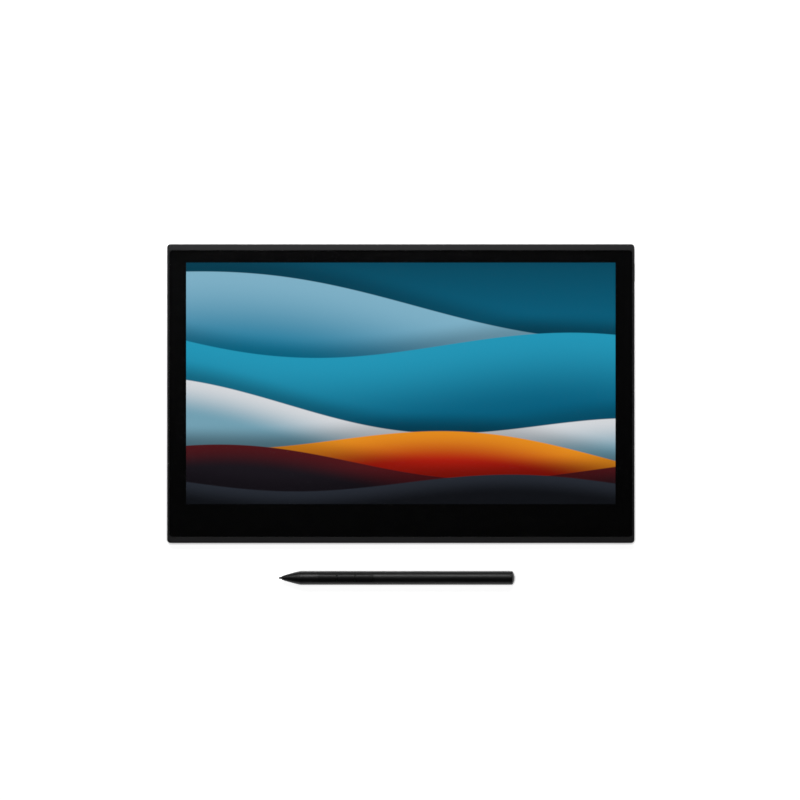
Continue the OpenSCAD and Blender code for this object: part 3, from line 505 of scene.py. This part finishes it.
lens_frosted = moulded("lens_frosted", (0.72, 0.75, 0.77, 1), 0.3, 0.1, 0.004)
foot_rubber = moulded("foot_rubber", (0.016, 0.016, 0.017, 1), 0.8, 0.18, 0.02,
                      Specular_IOR_Level=0.3)
pen_satin = moulded("pen_satin", (0.0028, 0.0028, 0.003, 1), 0.44, 0.15, 0.004,
                    Specular_IOR_Level=0.36)
switch_satin = moulded("switch_satin", (0.0034, 0.0034, 0.0036, 1), 0.44, 0.15, 0.003,
                       Specular_IOR_Level=0.25)
nib_felt = moulded("nib_felt", (0.02, 0.02, 0.021, 1), 0.7, 0.12, 0.01)
ferrite_grey = moulded("ferrite_grey", (0.03, 0.031, 0.034, 1), 0.55, 0.2, 0.02)
coil_wire = wound_wire("coil_wire", (0.55, 0.22, 0.08, 1), 0.18)
gold_plate = brushed("gold_plate", (0.8, 0.55, 0.2, 1), 0.25, (1, 6, 6), 0.3)

panel_low, panel_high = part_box("display_panel")
# Edges of the panel that carry no picture: three sides, and the side with the drivers
PANEL_EDGE = 2.0 * MM
DRIVER_EDGE = 6.0 * MM
picture_low = (panel_low.x + PANEL_EDGE, panel_low.y + DRIVER_EDGE)
picture_high = (panel_high.x - PANEL_EDGE, panel_high.y - PANEL_EDGE)
lit_picture = wave_picture("lit_picture", picture_low, picture_high, panel_high.z)

NODE_FINISHES = {
    "rear_cover": housing_coat,
    "front_frame": frame_satin,
    "cover_glass": glass_clear,
    "optical_bond": glass_clear,
    "border_mask": black_ink,
    "glass_tape": adhesive_tape,
    "display_panel": lit_picture,
    "panel_flexes": film_along_x,
    "digitizer_board": board_black,
    "digitizer_flex": film_along_x,
    "shield_plate": shield_sheet,
    "heat_spreader": graphite_sheet,
    "cushion_strips": foam_black,
    "main_board": board_green,
    "main_chips": chip_epoxy,
    "shield_can": tinned_steel,
    "cable_connectors": connector_nylon,
    "left_port_board": board_green,
    "right_port_board": board_green,
    "left_usb_socket": tinned_steel,
    "right_usb_socket": tinned_steel,
    "left_usb_tongue": chip_epoxy,
    "right_usb_tongue": chip_epoxy,
    "left_port_flex": film_along_y,
    "right_port_flex": film_along_y,
    "power_switch": tinned_steel,
    "status_led": lens_frosted,
    "status_lens": lens_frosted,
    "rubber_feet": foot_rubber,
    "housing_screws": black_steel,
    "board_screws": tinned_steel,
    "power_button": frame_satin,
    "pen_barrel": pen_satin,
    "pen_tip_cone": pen_satin,
    "pen_ferrite_core": ferrite_grey,
    "pen_coil": coil_wire,
    "pen_pressure_sensor": connector_nylon,
    "pen_chassis": chip_epoxy,
    "pen_board": board_green,
    "pen_switch_domes": tinned_steel,
    "pen_nib": nib_felt,
    "side_switch_front": switch_satin,
    "side_switch_middle": switch_satin,
    "side_switch_rear": switch_satin,
    "pen_tail_cap": pen_satin,
    "nib_magazine": chip_epoxy,
    "spare_nibs": nib_felt,
}
for node_name, node_finish in NODE_FINISHES.items():
    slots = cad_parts[node_name].data.materials
    for index in range(len(slots)):
        slots[index] = node_finish


# Tablet pieces


def glass_pane():
    """Cover glass with round corners and an inked, polished edge, and the clear bond under it.

    Both reach a hair into the mask and the panel, as bonded layers have no air between them.
    """
    corner, corner_steps, polish, polish_steps, sink = 2.4, 10, 0.15, 4, 0.01
    low, high = box_mm("cover_glass")
    bond_low = box_mm("optical_bond")[0]
    bm = block((low.x, low.y, low.z - sink), high)
    round_edges(bm, edges_along(bm, Z), corner, corner_steps)
    round_edges(bm, edges_at(bm, Z, high.z), polish, polish_steps)
    for axis in (X, Y):
        for level in (picture_low[axis] / MM + sink, picture_high[axis] / MM - sink):
            across = Vector((axis == X, axis == Y, 0))
            underside = faces_down(bm)
            edges = {e for f in underside for e in f.edges}
            corners = {v for f in underside for v in f.verts}
            bmesh.ops.bisect_plane(bm, geom=underside + list(edges) + list(corners),
                                   dist=FINE_WELD, plane_co=across * level, plane_no=across)
    window = max(faces_down(bm), key=lambda f: f.calc_area())
    drawn = bmesh.ops.extrude_face_region(bm, geom=[window])["geom"]
    bmesh.ops.translate(bm, vec=(0, 0, bond_low.z - low.z), verts=points_of(drawn))
    bmesh.ops.delete(bm, geom=[window], context="FACES_ONLY")
    bm.normal_update()
    for face in bm.faces:
        face.material_index = 0 if abs(face.normal.z) > TRUE_TO_AXIS else 1
    piece = finish_piece("glass_pane", bm, glass_clear, "tablet",
                         ("cover_glass", "optical_bond"))
    piece.data.materials.append(glass_rim)


def usb_contacts(side):
    """Gold contacts on both faces of a socket's tongue: 12 above and 12 below."""
    count, pitch, width, thick, length, setback = 12, 0.5, 0.26, 0.06, 3.4, 0.5
    tongue_half, edge, edge_steps = 0.35, thick / 3, 2
    low, high = box_mm(f"{side}_usb_tongue")
    outward = 1 if side == "right" else -1
    mouth = high.x if outward > 0 else low.x
    middle_y, middle_z = (low.y + high.y) / 2, (low.z + high.z) / 2
    foot_z = middle_z + tongue_half
    top_z = foot_z + thick
    near, far = sorted((mouth - outward * setback, mouth - outward * (setback + length)))
    first_y = middle_y - (count - 1) * pitch / 2
    bm = block((near, first_y - width / 2, foot_z), (far, first_y + width / 2, top_z))
    round_edges(bm, edges_at(bm, Z, top_z), edge, edge_steps)
    first = everything(bm)
    for i in range(1, count):
        copy = bmesh.ops.duplicate(bm, geom=first)["geom"]
        bmesh.ops.translate(bm, vec=(0, i * pitch, 0), verts=points_of(copy))
    lower = bmesh.ops.duplicate(bm, geom=everything(bm))["geom"]
    half_turn = Matrix.Rotation(FULL_TURN / 2, 3, "X")
    bmesh.ops.rotate(bm, cent=(0, middle_y, middle_z), matrix=half_turn, verts=points_of(lower))
    finish_piece(f"usb_contacts_{side}", bm, gold_plate, "tablet")


glass_pane()
for side in ("left", "right"):
    usb_contacts(side)


# Pen pieces. Profiles are drawn from the nib's point: u is the distance from it along the pen.

PEN_LOW, PEN_HIGH = box_mm("pen_barrel")
PEN_Y = (PEN_LOW.y + PEN_HIGH.y) / 2
PEN_Z = (PEN_LOW.z + PEN_HIGH.z) / 2
PEN_R = (PEN_HIGH.y - PEN_LOW.y) / 2
NIB_X = box_mm("pen_nib")[0].x
# Width of the fine chamfer where two pieces meet
SEAM = 0.1
# Radius of the tip's spigot and the cap's plug, which fit the barrel's bore
BORE_FIT_R = 3.84


def along_pen(profile, closed=False):
    return lathe(profile, NIB_X, PEN_Y, PEN_Z, closed)


def tip_cone():
    """Tip with a slightly bulged outline, a soft mouth and the bores for nib and coil."""
    mouth_u, mouth_r, full_u, bulge, outline_steps = 2.2, 1.3, 14.8, 0.27, 32
    spigot_u, lip = 19.8, 0.12
    coil_u, coil_r, core_u, core_r, nib_bore_r = 9.3, 2.31, 6.7, 1.66, 0.88
    bores = [(spigot_u, coil_r), (coil_u, coil_r), (coil_u, core_r), (core_u, core_r),
             (core_u, nib_bore_r)]
    outline = []
    for i in range(outline_steps + 1):
        t = i / outline_steps
        radius = mouth_r + (PEN_R - mouth_r) * t * (1 + bulge * (1 - t))
        outline.append((mouth_u + (full_u - mouth_u) * t, radius))
    outline[0] = (mouth_u + lip, mouth_r + lip / 2)
    outline[-1] = (full_u - SEAM, PEN_R - SEAM / 4)
    mouth = [(mouth_u, nib_bore_r), (mouth_u, mouth_r - lip),
             (mouth_u + lip / 3, mouth_r - lip / 4)]
    joint = [(full_u, PEN_R - SEAM), (full_u, BORE_FIT_R), (spigot_u, BORE_FIT_R)]
    profile = mouth + outline + joint + bores
    finish_piece("pen_tip", along_pen(profile, closed=True), pen_satin, "pen",
                 ("pen_tip_cone",))


def nib():
    """Felt-like nib with a ball point and a tapered shoulder."""
    point_r, nib_r, shoulder_u, end_u = 0.55, 0.8, 1.7, 23.3
    ball_points, ball_step = 9, math.radians(10)
    ball = [(point_r - point_r * math.cos(a), point_r * math.sin(a))
            for a in (i * ball_step for i in range(ball_points))]
    shank = [(shoulder_u, nib_r), (end_u - SEAM, nib_r), (end_u, nib_r - SEAM), (end_u, 0)]
    finish_piece("nib_point", along_pen(ball + shank), nib_felt, "nib",
                 ("pen_nib",))


def tail_cap():
    """Domed cap with a softened rim and the plug that slides into the barrel."""
    cap_u, plug_u, end_u, dome, rim = 158.8, 150.8, 161.5, 1.4, 0.35
    rim_turn, crown_steps = 4, 12
    dome_r = (dome * dome + PEN_R * PEN_R) / (2 * dome)
    edge_angle = math.degrees(math.asin(PEN_R / dome_r))
    crown = arc((end_u - dome_r, 0), dome_r, edge_angle - rim_turn, 0, crown_steps)
    plug = [(plug_u, 0), (plug_u, BORE_FIT_R - SEAM), (plug_u + SEAM, BORE_FIT_R),
            (cap_u, BORE_FIT_R)]
    side = [(cap_u, PEN_R - SEAM), (cap_u + SEAM, PEN_R), (end_u - dome - rim, PEN_R),
            (end_u - dome, PEN_R - rim / 4)]
    finish_piece("tail_cap", along_pen(plug + side + crown), pen_satin, "tail",
                 ("pen_tail_cap",))


tip_cone()
nib()
tail_cap()

# Solids whose CAD form is right: name of the piece, node, radius of its broken edges in
# millimetres, or 0 where its edges stay as they are, steps of that radius, finish, body and
# material slot
SOFTENED = (
    ("front_frame_shell", "front_frame", 0.08, 2, frame_satin, "tablet", "frame_plastic"),
    ("rear_cover_shell", "rear_cover", 0, 0, housing_coat, "tablet", "housing_metal"),
    ("foot_pads", "rubber_feet", 0.25, 4, foot_rubber, "tablet", "rubber"),
    ("screw_heads", "housing_screws", 0.04, 1, black_steel, "tablet", "black_steel"),
    ("usb_shell_left", "left_usb_socket", 0.1, 3, tinned_steel, "tablet", "tinned_steel"),
    ("usb_shell_right", "right_usb_socket", 0.1, 3, tinned_steel, "tablet", "tinned_steel"),
    ("status_window", "status_lens", 0.12, 3, lens_frosted, "tablet", "lens_plastic"),
    ("power_key", "power_button", 0.12, 3, frame_satin, "power_button", "frame_plastic"),
    ("pen_barrel_shell", "pen_barrel", 0.1, 2, pen_satin, "pen", "pen_plastic"),
    ("switch_key_front", "side_switch_front", 0.18, 3, switch_satin, "switch_front",
     "switch_plastic"),
    ("switch_key_middle", "side_switch_middle", 0.18, 3, switch_satin, "switch_middle",
     "switch_plastic"),
    ("switch_key_rear", "side_switch_rear", 0.18, 3, switch_satin, "switch_rear",
     "switch_plastic"),
)
for piece_name, node_name, radius, steps, finish, body, slot in SOFTENED:
    finish_piece(piece_name, softened_copy(node_name, radius, steps), finish, body,
                 (node_name,))


# Studio: white floor, a soft box behind, a surround that is brightest low down, and the camera.
# Places and sizes are in metres.

# Camera, which looks straight down: its place, how far it sees, and its lens in millimetres
CAMERA_X, CAMERA_Y, CAMERA_UP = -0.00055, 0.00993, 3.811
CLIP_END = 100
LENS, SENSOR = 250, 36
# Soft box: its place, the point that it looks at, its size, spread and power
KEY_PLACE = Vector((-0.06, 0.36, 0.5))
KEY_AIM = Vector((-0.02, 0.16, 0))
KEY_WIDE, KEY_DEEP = 0.6, 0.14
KEY_SPREAD = math.radians(90)
KEY_WATTS = 1.6
FLOOR_HALF = 20.0
# The floor as it lights the object, and as the camera and mirrors see it: glow and colour
FLOOR_LIT = 0.8
FLOOR_GLOW, FLOOR_SEEN = 0.96, 0.5
# Surround: the two heights between which its brightness falls, and its brightness at each
LEVEL_BY_HEIGHT = (0.05, 0.5, 0.25, 0.006)
# Painted shadow that darkens the floor's glow close to the object: its depth, its reach and its
# samples
CONTACT_DEPTH = 2.5
CONTACT_REACH = 2.5 * MM
CONTACT_SAMPLES = 16


def white_floor():
    """Floor that the camera, mirrors and glass see as white, with the object's shadow on it:
    cast by the lamps, and painted into its glow near the object.
    """
    bm = bmesh.new()
    bmesh.ops.create_grid(bm, x_segments=1, y_segments=1, size=FLOOR_HALF)
    mesh = bpy.data.meshes.new("studio_floor")
    bm.to_mesh(mesh)
    bm.free()
    floor = bpy.data.objects.new("studio_floor", mesh)
    bpy.context.scene.collection.objects.link(floor)
    floor_white = Finish("floor_white")
    floor_white.tree.nodes.remove(floor_white.shader)
    paths = floor_white.add("LightPath").outputs
    seen = floor_white.math("MAXIMUM", paths["Is Camera Ray"], paths["Is Glossy Ray"])
    seen = floor_white.math("MAXIMUM", seen, paths["Is Transmission Ray"])
    matt = floor_white.add("BsdfDiffuse", Color=grey(FLOOR_LIT))
    # Ambient occlusion darkens the glow near the object: a painted contact shadow
    contact_shadow = floor_white.add("AmbientOcclusion", {"samples": CONTACT_SAMPLES},
                              Distance=CONTACT_REACH)
    deeper = floor_white.math("POWER", contact_shadow.outputs["AO"], CONTACT_DEPTH)
    level = floor_white.math("MULTIPLY", deeper, FLOOR_GLOW)
    glow = floor_white.add("Emission", Color=grey(1), Strength=level)
    dim = floor_white.add("BsdfDiffuse", Color=grey(FLOOR_SEEN))
    shown = floor_white.add("AddShader")
    floor_white.put(shown.inputs[0], glow.outputs[0])
    floor_white.put(shown.inputs[1], dim.outputs[0])
    floor_white.mix_shaders(seen, matt, shown)
    mesh.materials.append(floor_white.material)


def surround():
    """Grey world whose brightness falls with height."""
    world = bpy.data.worlds.new("studio_surround")
    world.use_nodes = True
    tree = world.node_tree
    tree.nodes.clear()
    place = tree.nodes.new("ShaderNodeTexCoord")
    split = tree.nodes.new("ShaderNodeSeparateXYZ")
    level = tree.nodes.new("ShaderNodeMapRange")
    level.interpolation_type = "SMOOTHSTEP"
    for socket, value in zip(level.inputs[1:5], LEVEL_BY_HEIGHT):
        socket.default_value = value
    light = tree.nodes.new("ShaderNodeBackground")
    output = tree.nodes.new("ShaderNodeOutputWorld")
    tree.links.new(place.outputs["Generated"], split.inputs[0])
    tree.links.new(split.outputs["Z"], level.inputs[0])
    tree.links.new(level.outputs[0], light.inputs["Strength"])
    tree.links.new(light.outputs[0], output.inputs["Surface"])
    bpy.context.scene.world = world


def soft_box():
    lamp = bpy.data.lights.new("soft_box", "AREA")
    lamp.shape = "RECTANGLE"
    lamp.size, lamp.size_y = KEY_WIDE, KEY_DEEP
    lamp.spread = KEY_SPREAD
    lamp.energy = KEY_WATTS
    light = bpy.data.objects.new("soft_box", lamp)
    light.location = KEY_PLACE
    light.rotation_euler = (KEY_AIM - KEY_PLACE).to_track_quat("-Z", "Y").to_euler()
    light.visible_camera = False
    bpy.context.scene.collection.objects.link(light)


def camera():
    data = bpy.data.cameras.new("camera")
    data.lens = LENS
    data.sensor_width = SENSOR
    data.clip_end = CLIP_END
    view = bpy.data.objects.new("camera", data)
    view.location = (CAMERA_X, CAMERA_Y, CAMERA_UP)
    bpy.context.scene.collection.objects.link(view)
    bpy.context.scene.camera = view


white_floor()
surround()
soft_box()
camera()
bpy.context.scene.view_settings.view_transform = "Standard"
